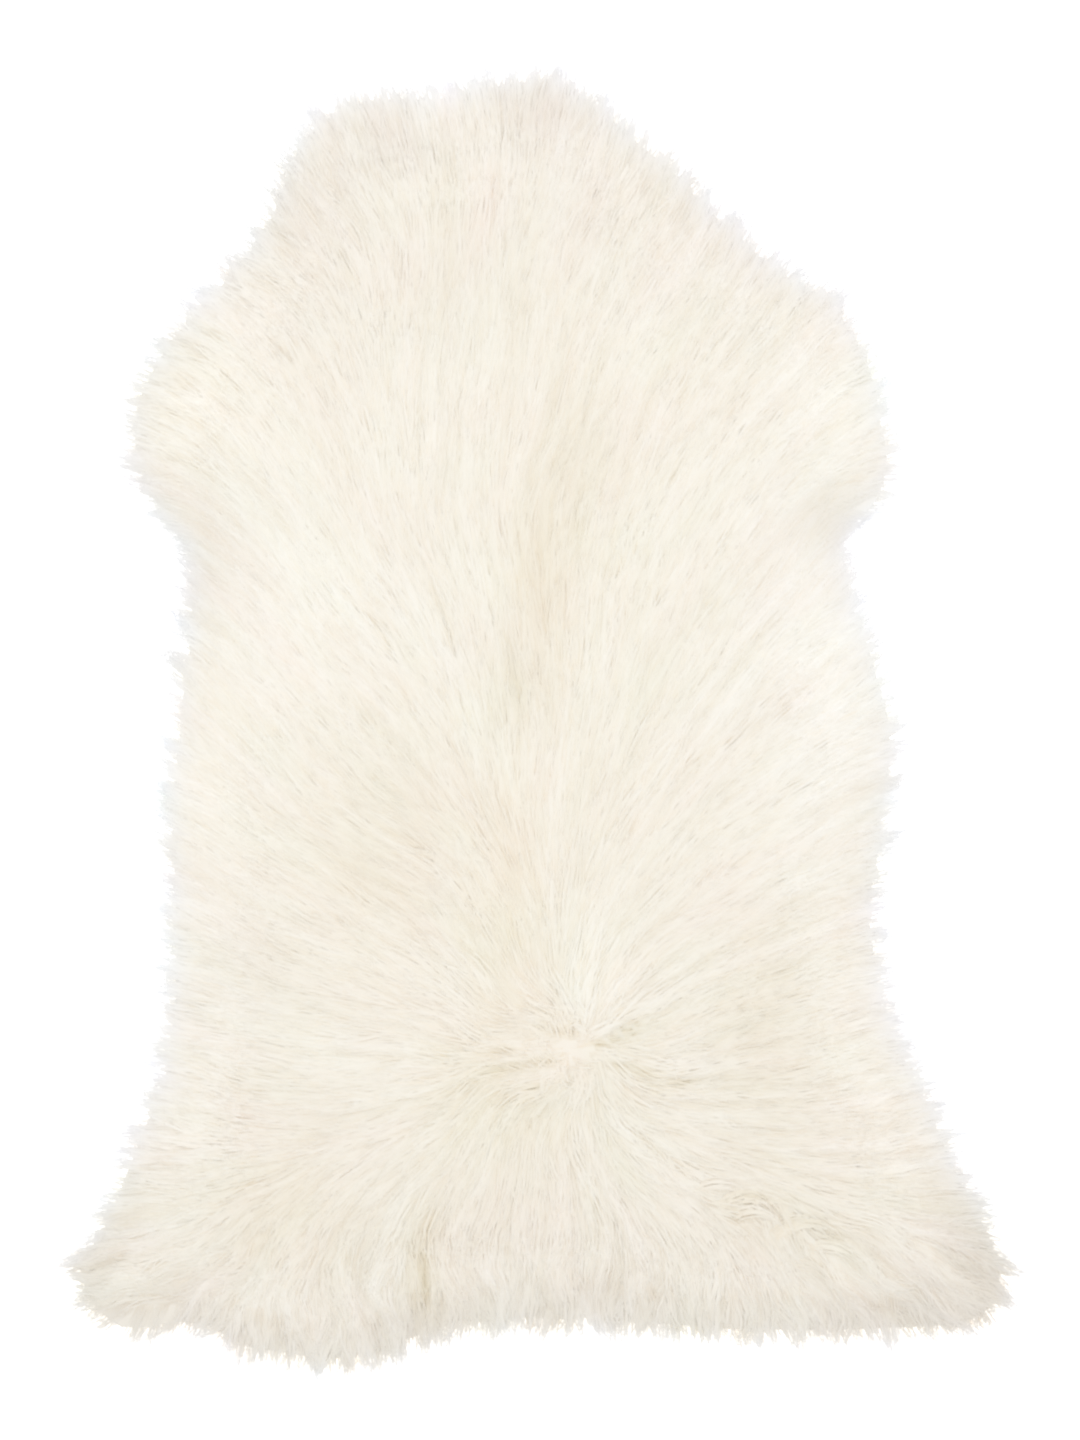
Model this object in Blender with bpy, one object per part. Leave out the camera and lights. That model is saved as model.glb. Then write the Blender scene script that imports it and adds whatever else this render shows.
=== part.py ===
"""Sheepskin rug: one pelt lying flat, wool side up, its rim of locks reaching past the hide's cut edge.

Metres, +Z up, +Y from the rump to the neck. The rug rests on Z = 0, the origin under the middle of its box.
"""

import math
import random
from collections import namedtuple

import bmesh
import bpy
from mathutils import Matrix, Vector, noise

# Driving dimensions: the wool's height over the floor, in the body of the rug and over the hide's cut edge.
PILE_HEIGHT = 0.042
EDGE_HEIGHT = 0.019
CROWN_WIDTH = 0.075  # how far in from the cut edge the wool takes to reach its full height

# The wool parts along the spine, and springs from a whorl over the rump.
SPINE_X = 0.004
WHORL = Vector((0.020, -0.250))
PARTING_DEPTH = 0.004
PARTING_WIDTH = 0.030
PARTING_FADE = 0.080  # how far from the whorl the parting takes to reach its depth
WHORL_RISE = 0.004
WHORL_RADIUS = 0.050

# Lumps of the fleece, each size with its height and length, and where in the noise they are read from.
LUMPS = ((0.0060, 0.105), (0.0045, 0.048))
LUMP_ORIGIN = Vector((3.7, 1.3, 0.5))

# One row for each landmark of the wool's outline, clockwise from the left hind toe as seen from above.
# x, y: where the tips end. reach: how far the locks stand out past the hide. lay: the way they point, in
# degrees clockwise from +Y, so 90 is to the right and 180 is towards the rump.
Landmark = namedtuple("Landmark", "name x y reach lay")
OUTLINE = [
    Landmark("left_hind_toe", -0.362, -0.430, 0.042, -112),
    Landmark("left_shin", -0.325, -0.345, 0.040, -84),
    Landmark("left_thigh", -0.296, -0.265, 0.040, -78),
    Landmark("left_loin", -0.289, -0.190, 0.040, -72),
    Landmark("left_belly", -0.292, -0.060, 0.042, -62),
    Landmark("left_girth", -0.280, 0.035, 0.040, -60),
    Landmark("left_armpit", -0.274, 0.125, 0.030, -66),
    Landmark("left_elbow", -0.305, 0.168, 0.036, -84),
    Landmark("left_shoulder", -0.322, 0.220, 0.040, -76),
    Landmark("left_shoulder_top", -0.300, 0.285, 0.040, -62),
    Landmark("left_withers", -0.245, 0.345, 0.038, -52),
    Landmark("left_neck_base", -0.208, 0.395, 0.036, -54),
    Landmark("left_neck", -0.192, 0.445, 0.036, -52),
    Landmark("left_nape", -0.155, 0.478, 0.038, -30),
    Landmark("nape_dip", -0.072, 0.484, 0.036, -6),
    Landmark("nape_top", -0.012, 0.500, 0.040, 8),
    Landmark("right_nape", 0.035, 0.487, 0.038, 22),
    Landmark("right_neck", 0.095, 0.437, 0.038, 34),
    Landmark("right_neck_base", 0.170, 0.366, 0.038, 40),
    Landmark("right_withers", 0.235, 0.322, 0.040, 46),
    Landmark("right_shoulder_top", 0.258, 0.280, 0.040, 62),
    Landmark("right_shoulder", 0.273, 0.225, 0.040, 78),
    Landmark("right_elbow", 0.270, 0.170, 0.036, 92),
    Landmark("right_armpit", 0.239, 0.136, 0.030, 84),
    Landmark("right_girth", 0.252, 0.080, 0.038, 68),
    Landmark("right_rib", 0.269, 0.030, 0.040, 66),
    Landmark("right_belly", 0.277, -0.035, 0.042, 68),
    Landmark("right_loin", 0.263, -0.165, 0.040, 84),
    Landmark("right_thigh", 0.288, -0.252, 0.040, 82),
    Landmark("right_shin", 0.330, -0.345, 0.040, 88),
    Landmark("right_hind_toe", 0.364, -0.425, 0.042, 112),
    Landmark("right_heel", 0.345, -0.466, 0.042, 146),
    Landmark("right_rump", 0.265, -0.478, 0.042, 162),
    Landmark("rump_tuft", 0.116, -0.478, 0.044, 174),
    Landmark("rump", 0.000, -0.468, 0.042, 180),
    Landmark("left_rump", -0.090, -0.480, 0.042, 178),
    Landmark("left_rump_lobe", -0.148, -0.501, 0.044, 178),
    Landmark("left_lobe_end", -0.220, -0.494, 0.042, 184),
    Landmark("left_notch", -0.276, -0.469, 0.038, 194),
    Landmark("left_heel", -0.328, -0.479, 0.042, 216),
]
SAMPLES_PER_SPAN = 24  # fine steps between two landmarks, to measure along the edge with

# These four landmarks divide the edge into sides, and the top is a net of squares stretched between them.
CORNERS = ("left_hind_toe", "left_shoulder", "right_shoulder", "right_hind_toe")
STEPS_PER_SIDE = 36
EVENING_ROUNDS = 16
RIM_RING = 0.010  # a narrower ring of faces inside the edge, which rounds the foot of the crown

# The locks at the rim are in two rows: the lower one lies on the floor, and the upper one droops onto it.
# reach: as a share of the landmark's. low, high: the heights of the lock's belly. tip: the height of its tip.
LockRow = namedtuple("LockRow", "reach low high tip")
LOCK_ROWS = (
    LockRow(reach=1.12, low=0.0000, high=0.0035, tip=0.0012),
    LockRow(reach=1.02, low=0.0058, high=0.0105, tip=0.0048),
)
LOCK_ROW_SPLIT = 0.008  # the height at the hide's edge where one row gives way to the other
BELLY_AT = 0.70  # where a lock is last wide, as a share of its length
NARROWEST_BELLY = 0.80  # as a share of the room between its neighbours
WIDEST_BELLY = 0.94
TIP_TURN = 22.0  # degrees that a tip may turn from the lay
SHORTEST_LOCK = 0.82  # as a share of its row's reach
LOCK_SEED = 11

WOOL_COLOUR = (0.86, 0.81, 0.72, 1.0)
WOOL_ROUGHNESS = 0.85
SHARP_ANGLE = math.radians(50)  # faces that meet at less are shaded as one soft surface

# A point of the hide's cut edge: where its wool is rooted, the unit vector it lies along, and how far it reaches.
EdgePoint = namedtuple("EdgePoint", "root lay reach")


def clear_scene():
    for old in list(bpy.data.objects):
        bpy.data.objects.remove(old)


def lay_vector(degrees):
    """The way wool with this lay points, as a unit vector on the floor."""
    angle = math.radians(degrees)
    return Vector((math.sin(angle), math.cos(angle)))


def turned(vector, degrees):
    return Matrix.Rotation(math.radians(degrees), 2) @ vector


def smooth_between(before, start, end, after, t):
    """The point at share t from start to end, on a smooth curve through all four (Catmull-Rom)."""
    pull = 2 * before - 5 * start + 4 * end - after
    twist = 3 * start - before - 3 * end + after
    return start + 0.5 * t * (end - before + t * (pull + t * twist))


def edge_point(index, t):
    """The hide's cut edge at share t of the way from landmark index to the next."""
    rows = [OUTLINE[(index + step) % len(OUTLINE)] for step in (-1, 0, 1, 2)]
    tip = smooth_between(*[Vector((row.x, row.y)) for row in rows], t)
    lay = lay_vector(rows[1].lay).lerp(lay_vector(rows[2].lay), t).normalized()
    reach = (1 - t) * rows[1].reach + t * rows[2].reach
    return EdgePoint(tip - reach * lay, lay, reach)


def blend_points(a, b, share):
    lay = a.lay.lerp(b.lay, share).normalized()
    return EdgePoint(a.root.lerp(b.root, share), lay, (1 - share) * a.reach + share * b.reach)


def edge_side(first, last):
    """Evenly spaced points of the cut edge, from landmark first up to, but not at, landmark last."""
    spans = (last - first) % len(OUTLINE)
    fine = [edge_point(first + k // SAMPLES_PER_SPAN, k % SAMPLES_PER_SPAN / SAMPLES_PER_SPAN)
            for k in range(spans * SAMPLES_PER_SPAN + 1)]
    run = [0.0]
    for here, after in zip(fine, fine[1:]):
        run.append(run[-1] + (after.root - here.root).length)
    points = []
    at = 0
    for step in range(STEPS_PER_SIDE):
        wanted = run[-1] * step / STEPS_PER_SIDE
        while run[at + 1] < wanted:
            at += 1
        points.append(blend_points(fine[at], fine[at + 1], (wanted - run[at]) / (run[at + 1] - run[at])))
    return points


def cut_edge():
    """The hide's whole cut edge, clockwise from the first corner."""
    names = [row.name for row in OUTLINE]
    corners = [names.index(name) for name in CORNERS]
    sides = [edge_side(first, last) for first, last in zip(corners, corners[1:] + corners[:1])]
    return [point for side in sides for point in side]


def gap_to_line(place, start, end):
    """How far a place on the floor is from the straight line between two others."""
    line = end - start
    share = min(1.0, max(0.0, (place - start).dot(line) / line.length_squared))
    return (place - start - share * line).length


def wool_height(place, edge):
    """The wool's height over the floor: a crown in from the edge, the parting, the whorl and the lumps."""
    gap = min(gap_to_line(place, a.root, b.root) for a, b in zip(edge, edge[1:] + edge[:1]))
    crown = math.sqrt(1 - (1 - min(1.0, gap / CROWN_WIDTH)) ** 2)
    height = EDGE_HEIGHT + crown * (PILE_HEIGHT - EDGE_HEIGHT)
    past_whorl = min(1.0, max(0.0, (place.y - WHORL.y) / PARTING_FADE))
    height -= crown * past_whorl * PARTING_DEPTH * math.exp(-(((place.x - SPINE_X) / PARTING_WIDTH) ** 2))
    height += WHORL_RISE * math.exp(-(((place - WHORL).length / WHORL_RADIUS) ** 2))
    for rise, length in LUMPS:
        height += crown * rise * noise.noise(place.to_3d() / length + LUMP_ORIGIN)
    return height


def edge_ring(bm, edge, height, inset=0.0):
    """The corners and the edges of a closed ring at this height, set in from the cut edge against the lay."""
    verts = [bm.verts.new((*(point.root - inset * point.lay), height)) for point in edge]
    return verts, [bm.edges.new(pair) for pair in zip(verts, verts[1:] + verts[:1])]


def stretch_top(bm, rim, edge):
    """Close the rim with a narrow ring and a net of squares, evened out and raised to the wool's height."""
    verts, ring = edge_ring(bm, edge, EDGE_HEIGHT, RIM_RING)
    bmesh.ops.bridge_loops(bm, edges=rim + ring)
    rails = ring[:STEPS_PER_SIDE] + ring[2 * STEPS_PER_SIDE:3 * STEPS_PER_SIDE]
    net = bmesh.ops.grid_fill(bm, edges=rails, use_interp_simple=True)["faces"]
    inner = list(dict.fromkeys(vert for face in net for vert in face.verts if vert not in verts))
    for _ in range(EVENING_ROUNDS):
        bmesh.ops.smooth_vert(bm, verts=inner, factor=0.5, use_axis_x=True, use_axis_y=True)
    for vert in verts + inner:
        vert.co.z = wool_height(vert.co.xy, edge)


def grow_lock(bm, face, row, point_at, chance):
    """Draw one face of the rim's wall out into a lock: a flat belly that fills its room, then a point."""
    points = {tuple(vert.co.xy): point_at[vert] for vert in face.verts}
    split = face.calc_center_median().z
    reach = sum(point.reach for point in points.values()) / len(points)
    length = row.reach * reach * chance.uniform(SHORTEST_LOCK, 1.0)
    lay = sum((point.lay for point in points.values()), Vector((0, 0))).normalized()
    ends = {place: point.root + BELLY_AT * length * point.lay for place, point in points.items()}
    middle = sum(ends.values(), Vector((0, 0))) / len(ends)
    width = chance.uniform(NARROWEST_BELLY, WIDEST_BELLY)
    belly = bmesh.ops.extrude_discrete_faces(bm, faces=[face])["faces"][0]
    for vert in belly.verts:
        place = middle.lerp(ends[tuple(vert.co.xy)], width)
        vert.co = (*place, row.low if vert.co.z < split else row.high)
    tip = bmesh.ops.poke(bm, faces=[belly])["verts"][0]
    point = turned(lay, chance.uniform(-TIP_TURN, TIP_TURN))
    tip.co = (*(middle + (1 - BELLY_AT) * length * point), row.tip)


def build_sheepskin(bm):
    edge = cut_edge()
    levels = (0.0, LOCK_ROW_SPLIT, EDGE_HEIGHT)
    rings = [edge_ring(bm, edge, height) for height in levels]
    point_at = {vert: point for verts, _ in rings for vert, point in zip(verts, edge)}
    bmesh.ops.contextual_create(bm, geom=rings[0][1])
    stretch_top(bm, rings[2][1], edge)
    chance = random.Random(LOCK_SEED)
    for row, (_, low_ring), (_, high_ring) in zip(LOCK_ROWS, rings, rings[1:]):
        for face in bmesh.ops.bridge_loops(bm, edges=low_ring + high_ring)["faces"]:
            grow_lock(bm, face, row, point_at, chance)
    bmesh.ops.recalc_face_normals(bm, faces=bm.faces)


def centre_on_origin(bm):
    """Move the rug along the floor, so that the middle of its box is over the origin."""
    middles = []
    for axis in (0, 1):
        places = [vert.co[axis] for vert in bm.verts]
        middles.append((min(places) + max(places)) / 2)
    bmesh.ops.translate(bm, verts=bm.verts, vec=(-middles[0], -middles[1], 0))


def wool_material():
    material = bpy.data.materials.new("wool")
    material.use_nodes = True
    shader = material.node_tree.nodes["Principled BSDF"]
    shader.inputs["Base Color"].default_value = WOOL_COLOUR
    shader.inputs["Roughness"].default_value = WOOL_ROUGHNESS
    shader.inputs["Metallic"].default_value = 0.0
    return material


def main():
    clear_scene()
    bm = bmesh.new()
    build_sheepskin(bm)
    centre_on_origin(bm)
    mesh = bpy.data.meshes.new("sheepskin")
    bm.to_mesh(mesh)
    bm.free()
    mesh.materials.append(wool_material())
    mesh.shade_smooth()
    mesh.set_sharp_from_angle(angle=SHARP_ANGLE)
    bpy.context.collection.objects.link(bpy.data.objects.new("sheepskin", mesh))


main()
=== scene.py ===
# %% [markdown]
# # A sheepskin rug, seen from straight above
#
# The rug is one pelt: a thin suede hide below, and about 50 mm of ivory wool above, combed outward from
# the line of the spine and from a whorl over the rump. The solid that comes with the frame has the rug's
# outline, its thickness and its main lumps. This script keeps all of that, and puts a hide, dense
# underwool and combed strands in its place. Particle hair would be the quick way, but it is gone in an
# exported mesh, so each strand here is a small closed form of its own.

# %% Open the frame
import math

import bmesh
import bpy
import numpy as np
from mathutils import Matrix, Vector
from mathutils.bvhtree import BVHTree


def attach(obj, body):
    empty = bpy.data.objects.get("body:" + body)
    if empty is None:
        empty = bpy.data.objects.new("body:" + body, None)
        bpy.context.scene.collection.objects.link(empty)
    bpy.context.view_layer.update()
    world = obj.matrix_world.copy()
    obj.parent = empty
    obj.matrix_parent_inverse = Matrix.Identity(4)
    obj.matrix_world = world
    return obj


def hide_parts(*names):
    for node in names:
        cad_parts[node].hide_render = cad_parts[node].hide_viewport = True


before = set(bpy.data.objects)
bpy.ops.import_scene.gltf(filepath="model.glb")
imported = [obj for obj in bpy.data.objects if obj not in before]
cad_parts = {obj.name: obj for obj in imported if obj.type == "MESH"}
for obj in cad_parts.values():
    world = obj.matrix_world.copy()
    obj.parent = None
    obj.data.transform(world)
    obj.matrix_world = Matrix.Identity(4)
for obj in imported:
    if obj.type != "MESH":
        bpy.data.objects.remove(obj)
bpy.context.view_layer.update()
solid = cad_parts["sheepskin"]

# %% [markdown]
# ## Camera
#
# The photograph looks straight down, with the neck at the top. A long lens from 4 m up keeps the rug's
# height from widening it. The photograph's frame is 1080 by 1440 pixels, and one of its pixels covers
# 0.765 mm of the floor. An orthographic camera would also keep the outline, but a real one has a lens.

# %% Camera over the middle of the rug
PHOTO_HEIGHT_PX = 1440
FLOOR_PER_PX = 0.000765
CAMERA_HEIGHT = 4.0


def placed(name, data):
    """A new object in the scene, at its middle."""
    thing = bpy.data.objects.new(name, data)
    bpy.context.scene.collection.objects.link(thing)
    return thing


lens = bpy.data.cameras.new("camera")
lens.lens = lens.sensor_width * CAMERA_HEIGHT / (PHOTO_HEIGHT_PX * FLOOR_PER_PX)
camera = placed("camera", lens)
camera.location = (0.0, 0.0, CAMERA_HEIGHT)
bpy.context.scene.camera = camera
print("lens", round(lens.lens, 1), "mm")

# %% [markdown]
# ## Light
#
# The light is a studio's: white all round, and a little more of it from beyond the neck, so that each wisp
# of wool is bright on top and warm where it dips under the next. White wool hands light on from strand to
# strand, so light may bounce many times. The pixel filter is a little wide, as the photograph is soft.

# %% White surroundings, and one soft lamp
WHITE = (1.0, 1.0, 1.0, 1.0)
WORLD_STRENGTH = 0.945
BOUNCES = 12
LENS_SOFTNESS_PX = 2.7
LAMP_PLACE = (0.3, 1.6, 2.4)
LAMP_SIZE = 1.6
LAMP_WATTS = 6

world = bpy.data.worlds.new("studio")
world.use_nodes = True
background = world.node_tree.nodes["Background"]
background.inputs["Color"].default_value = WHITE
background.inputs["Strength"].default_value = WORLD_STRENGTH
bpy.context.scene.world = world
bpy.context.scene.view_settings.view_transform = "Standard"
bpy.context.scene.cycles.diffuse_bounces = BOUNCES
bpy.context.scene.cycles.filter_width = LENS_SOFTNESS_PX

lamp = bpy.data.lights.new("sky_beyond_neck", "AREA")
lamp.shape = "DISK"
lamp.size = LAMP_SIZE
lamp.energy = LAMP_WATTS
holder = placed("sky_beyond_neck", lamp)
holder.location = LAMP_PLACE
holder.rotation_euler = (-Vector(LAMP_PLACE)).to_track_quat("-Z", "Y").to_euler()
print("light", WORLD_STRENGTH, "all round, and", LAMP_WATTS, "W from beyond the neck")

# %% [markdown]
# ## The floor
#
# A plain pale studio floor. It gives a little light of its own, as a lit sweep of paper does, so that the
# fringe fades into white as it does in the photograph. One large square is enough.

# %% Floor
FLOOR_SIDE = 12.0
FLOOR_COLOUR = (0.93, 0.93, 0.93, 1.0)
FLOOR_ROUGHNESS = 0.9
FLOOR_GLOW = 0.60


def plain_material(name, colour, roughness):
    """A new material of one colour, and its shader."""
    material = bpy.data.materials.new(name)
    material.use_nodes = True
    shader = material.node_tree.nodes["Principled BSDF"]
    shader.inputs["Base Color"].default_value = colour
    shader.inputs["Roughness"].default_value = roughness
    return material, shader


def as_object(bm, name, material):
    """Put a finished bmesh in the scene, with its one material."""
    mesh = bpy.data.meshes.new(name)
    bm.to_mesh(mesh)
    bm.free()
    mesh.materials.append(material)
    return placed(name, mesh)


floor_material, shader = plain_material("studio_floor", FLOOR_COLOUR, FLOOR_ROUGHNESS)
shader.inputs["Emission Color"].default_value = WHITE
shader.inputs["Emission Strength"].default_value = FLOOR_GLOW
bm = bmesh.new()
bmesh.ops.create_grid(bm, x_segments=1, y_segments=1, size=FLOOR_SIDE / 2)
floor = as_object(bm, "floor", floor_material)
print("floor", FLOOR_SIDE, "m across")

# %% [markdown]
# ## What the solid says
#
# The wool has to stay on the solid, so the script first reads three things from it: where the hide was
# cut, where the locks at the rim end, and how high the wool is. The hide's cut edge is the ring of corners
# at 8 mm over the floor. Walking from corner to corner along the edges puts them in order.

# %% The hide's cut edge
EDGE_LEVEL = 0.008
SAME = 0.0001

cast = bmesh.new()
cast.from_mesh(solid.data)
bmesh.ops.remove_doubles(cast, verts=cast.verts, dist=SAME / 10)


def at_level(vert, level):
    return abs(vert.co.z - level) < SAME


def walk_ring(start):
    """The corners of a closed ring at one level, in order."""
    ring = [start]
    while True:
        ahead = [edge.other_vert(ring[-1]) for edge in ring[-1].link_edges]
        ahead = [vert for vert in ahead if at_level(vert, start.co.z) and vert not in ring[-2:]]
        if len(ring) > 2 and start in ahead:
            return ring
        ring.append(ahead[0])


ring = walk_ring(next(vert for vert in cast.verts if at_level(vert, EDGE_LEVEL)))
hide_edge = np.array([vert.co.xy for vert in ring])
edge_after = np.roll(hide_edge, -1, axis=0)
print("cut edge with", len(hide_edge), "corners")

# %% [markdown]
# Each lower lock stands on one span of the cut edge and ends in a point 1.2 mm up. Two steps along the
# solid's edges, over the lock's belly, lead from that point back to the span.

# %% The ends of the locks
TIP_LEVEL = 0.0012

span_of = {frozenset((ring[k - 1], ring[k])): k - 1 for k in range(len(ring))}
lock_tips = np.zeros_like(hide_edge)
for vert in cast.verts:
    if at_level(vert, TIP_LEVEL):
        bellies = [edge.other_vert(vert) for edge in vert.link_edges]
        roots = {edge.other_vert(belly) for belly in bellies for edge in belly.link_edges}
        pairs = [pair for pair in span_of if pair <= roots]
        lock_tips[span_of[pairs[0]]] = vert.co.xy

lock_roots = (hide_edge + edge_after) / 2
edge_out = (lock_tips + np.roll(lock_tips, 1, axis=0)) / 2 - hide_edge
lock_length = np.linalg.norm(lock_tips - lock_roots, axis=1)
print(len(lock_tips), "locks on the floor,", round(lock_length.mean() * 1000), "mm long on average")

# %% [markdown]
# ## Maps of the rug
#
# Everything that varies over the rug is kept as a map: a grid of values, 3 mm apart, seen from above. A
# painted image could hold the same, but a map made of numbers can be worked out from the solid, read at
# any place between its points, and softened.

# %% Grid, and how a map is read
CELL = 0.003
GRID_REACH = (0.40, 0.54)  # half its width and half its length
GRID_X = np.arange(-GRID_REACH[0], GRID_REACH[0] + SAME, CELL)
GRID_Y = np.arange(-GRID_REACH[1], GRID_REACH[1] + SAME, CELL)
grid = np.stack(np.meshgrid(GRID_X, GRID_Y, indexing="ij"), axis=-1)


def read(field, places):
    """A map's value at each place, blended from the four grid points round it."""
    i = np.clip((places[..., 0] - GRID_X[0]) / CELL, 0, len(GRID_X) - 1.001)
    j = np.clip((places[..., 1] - GRID_Y[0]) / CELL, 0, len(GRID_Y) - 1.001)
    a, b = i.astype(int), j.astype(int)
    s, t = i - a, j - b
    if field.ndim == 3:
        s, t = s[..., None], t[..., None]
    near = field[a, b] * (1 - s) + field[a + 1, b] * s
    far = field[a, b + 1] * (1 - s) + field[a + 1, b + 1] * s
    return near * (1 - t) + far * t


print("grid of", *grid.shape[:2], "points")

# %% [markdown]
# Wool is never even, so many maps need soft random lumps. Random numbers that are softened over and over
# give them: the more rounds, the wider the lumps. The numbers come from one seeded source, so the rug is
# the same each time. Soft steps do for everything that fades in or out.

# %% Softening, lumps and soft steps
SEED = 12
LUMP_ROUNDS = 0.5  # rounds of softening for lumps one cell across, and it takes four times that for two
rng = np.random.default_rng(SEED)


def soften(field, rounds):
    """A map with each value drawn toward its four neighbours, that many times."""
    for _ in range(rounds):
        wide = np.pad(field, [(1, 1), (1, 1)] + [(0, 0)] * (field.ndim - 2), mode="edge")
        around = wide[:-2, 1:-1] + wide[2:, 1:-1] + wide[1:-1, :-2] + wide[1:-1, 2:]
        field = (around + 4 * field) / 8
    return field


def lumps(size):
    """A map of soft random lumps about that far across, mostly between -1 and 1."""
    field = soften(rng.normal(size=grid.shape[:2]), int(LUMP_ROUNDS * (size / CELL) ** 2))
    return field / field.std() / 2


def ramp(value, low, high):
    """0 up to low, 1 from high on, and a soft step between them."""
    share = np.clip((value - low) / (high - low), 0, 1)
    return share * share * (3 - 2 * share)


print("a soft step in five:", ramp(np.linspace(0, 1, 5), 0, 1).round(2))

# %% [markdown]
# Two maps say how far a place is inside the cut edge, and inside the line through the locks' ends. The
# distance is the one to the nearest span of the outline. A place is inside if a line drawn from it to the
# right crosses the outline an odd number of times.

# %% How far inside an outline
TINY = 1e-9


def gap_to_span(places, start, side):
    """How far each place is from a straight span, given by its start and its way to its end."""
    share = np.clip((places - start) @ side / (side @ side), 0, 1)
    return np.linalg.norm(places - start - share[..., None] * side, axis=-1)


def gap_inside(places, loop):
    """How far inside a closed outline each place is, and less than zero outside it."""
    nearest = np.full(len(places), np.inf)
    inside = np.zeros(len(places), bool)
    for start, end in zip(loop, np.roll(loop, -1, axis=0)):
        side = end - start
        nearest = np.minimum(nearest, gap_to_span(places, start, side))
        crosses = (start[1] > places[:, 1]) != (end[1] > places[:, 1])
        rise = side[1] if abs(side[1]) > TINY else TINY
        inside ^= crosses & (places[:, 0] < start[0] + (places[:, 1] - start[1]) / rise * side[0])
    return np.where(inside, nearest, -nearest)


flat_grid = grid.reshape(-1, 2)
in_edge = gap_inside(flat_grid, hide_edge).reshape(grid.shape[:2])
in_tips = gap_inside(flat_grid, lock_tips).reshape(grid.shape[:2])
print("hide", round((in_edge > 0).sum() * CELL ** 2, 3), "m2,",
      "wool", round((in_tips > 0).sum() * CELL ** 2, 3), "m2")

# %% [markdown]
# The wool's height is measured on the solid, by looking down at it from each grid point. Outside the cut
# edge there is no hide under the wool, so it falls from the edge's 19 mm to the floor. The solid turns
# down sharply at its edge, and wool doesn't, so the height is softened most in a band there.

# %% Height of the wool
EDGE_HEIGHT = 0.019
TIP_HEIGHT = 0.003
DRAPE_CROWN = 0.85  # less than 1 keeps the wool up at first, before it falls
HEIGHT_SOFTENING = 5
EDGE_SOFTENING = 45
EDGE_BAND = (0.006, 0.014, 0.034)  # its middle, inside the edge, and how far off it starts and stops to fade
LOOK_FROM = 0.2
DOWN = Vector((0, 0, -1))

tree = BVHTree.FromBMesh(cast)
height = np.zeros(grid.shape[:2])
for i, x in enumerate(GRID_X):
    for j, y in enumerate(GRID_Y):
        if in_edge[i, j] > 0:
            height[i, j] = tree.ray_cast(Vector((x, y, LOOK_FROM)), DOWN)[0].z
outward = np.clip(-in_edge, 0, None)
fall = outward / np.maximum(outward + np.maximum(in_tips, 0), CELL / 4)
drape = TIP_HEIGHT + (EDGE_HEIGHT - TIP_HEIGHT) * (1 - fall) ** DRAPE_CROWN
height = soften(np.where(in_edge > 0, height, drape), HEIGHT_SOFTENING)
near_edge = 1 - ramp(np.abs(in_edge - EDGE_BAND[0]), *EDGE_BAND[1:])
height = height + near_edge * (soften(height, EDGE_SOFTENING) - height)
print("wool up to", round(height.max() * 1000, 1), "mm high")

# %% [markdown]
# ## The lay of the wool
#
# The wool lies as it was combed. From the whorl over the rump it runs out on all sides: up the back to
# the neck, out over both flanks, and down to the hind edge. The table has its lay where it was judged,
# in degrees clockwise from straight up the photograph. Angles jump from 180 to -180, so the blend
# between the rows is made on their sines and cosines.

# %% Lay from the table
COMB_X = (-0.30, -0.20, -0.10, 0.00, 0.10, 0.20, 0.30)
COMB = (
    # (height up the rug, (lay at each place of COMB_X))
    (-0.48, (-135, 180, 168, 180, 175, 160, 145)),
    (-0.42, (-112, -170, 165, 178, 175, 150, 135)),
    (-0.36, (-95, -130, -150, -178, 125, 105, 95)),
    (-0.31, (-82, -92, -115, 180, 105, 85, 84)),
    (-0.25, (-80, -82, -84, 90, 75, 80, 85)),
    (-0.19, (-76, -64, -66, -8, 60, 80, 92)),
    (-0.10, (-68, -58, -60, -5, 40, 62, 80)),
    (0.00, (-58, -42, -30, 0, 32, 52, 62)),
    (0.10, (-60, -42, -25, -3, 30, 45, 70)),
    (0.20, (-75, -35, -5, 12, 22, 50, 75)),
    (0.30, (-68, -45, -5, 10, 30, 45, 60)),
    (0.40, (-55, -40, -10, 12, 25, 40, 50)),
    (0.48, (-50, -40, -15, 10, 25, 40, 50)),
)


def unit(ways):
    return ways / np.maximum(np.linalg.norm(ways, axis=-1, keepdims=True), TINY)


rows = np.radians([lays for _, lays in COMB])
parts = []
for part in (np.sin(rows), np.cos(rows)):
    wide = np.array([np.interp(GRID_X, COMB_X, row) for row in part])
    parts.append(np.array([np.interp(GRID_Y, [y for y, _ in COMB], column) for column in wide.T]))
lay = unit(np.stack(parts, axis=-1))
print("lay from", len(COMB), "rows of", len(COMB_X))

# %% [markdown]
# Round the whorl every wisp points away from one spot, which a table with wide gaps can't say, so the lay
# is drawn toward that there.

# %% Whorl
WHORL = np.array((0.020, -0.250))
WHORL_REACH = 0.085
WHORL_HEART = 0.4  # the share of its reach where the whorl has its full pull
WHORL_PULL = 2.5
LAY_SOFTENING = 20

from_whorl = grid - WHORL
near_whorl = 1 - ramp(np.linalg.norm(from_whorl, axis=-1), WHORL_HEART * WHORL_REACH, WHORL_REACH)
lay = lay + WHORL_PULL * near_whorl[..., None] * (unit(from_whorl) - lay)
lay = unit(soften(unit(lay), LAY_SOFTENING))
print("whorl over", int((near_whorl > 0).sum()), "grid points")

# %% [markdown]
# Combed wool still sways a little from side to side, and much more toward the hind edge, where it is
# longest and shaggy. In a few places there a lock lies across the others.

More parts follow.
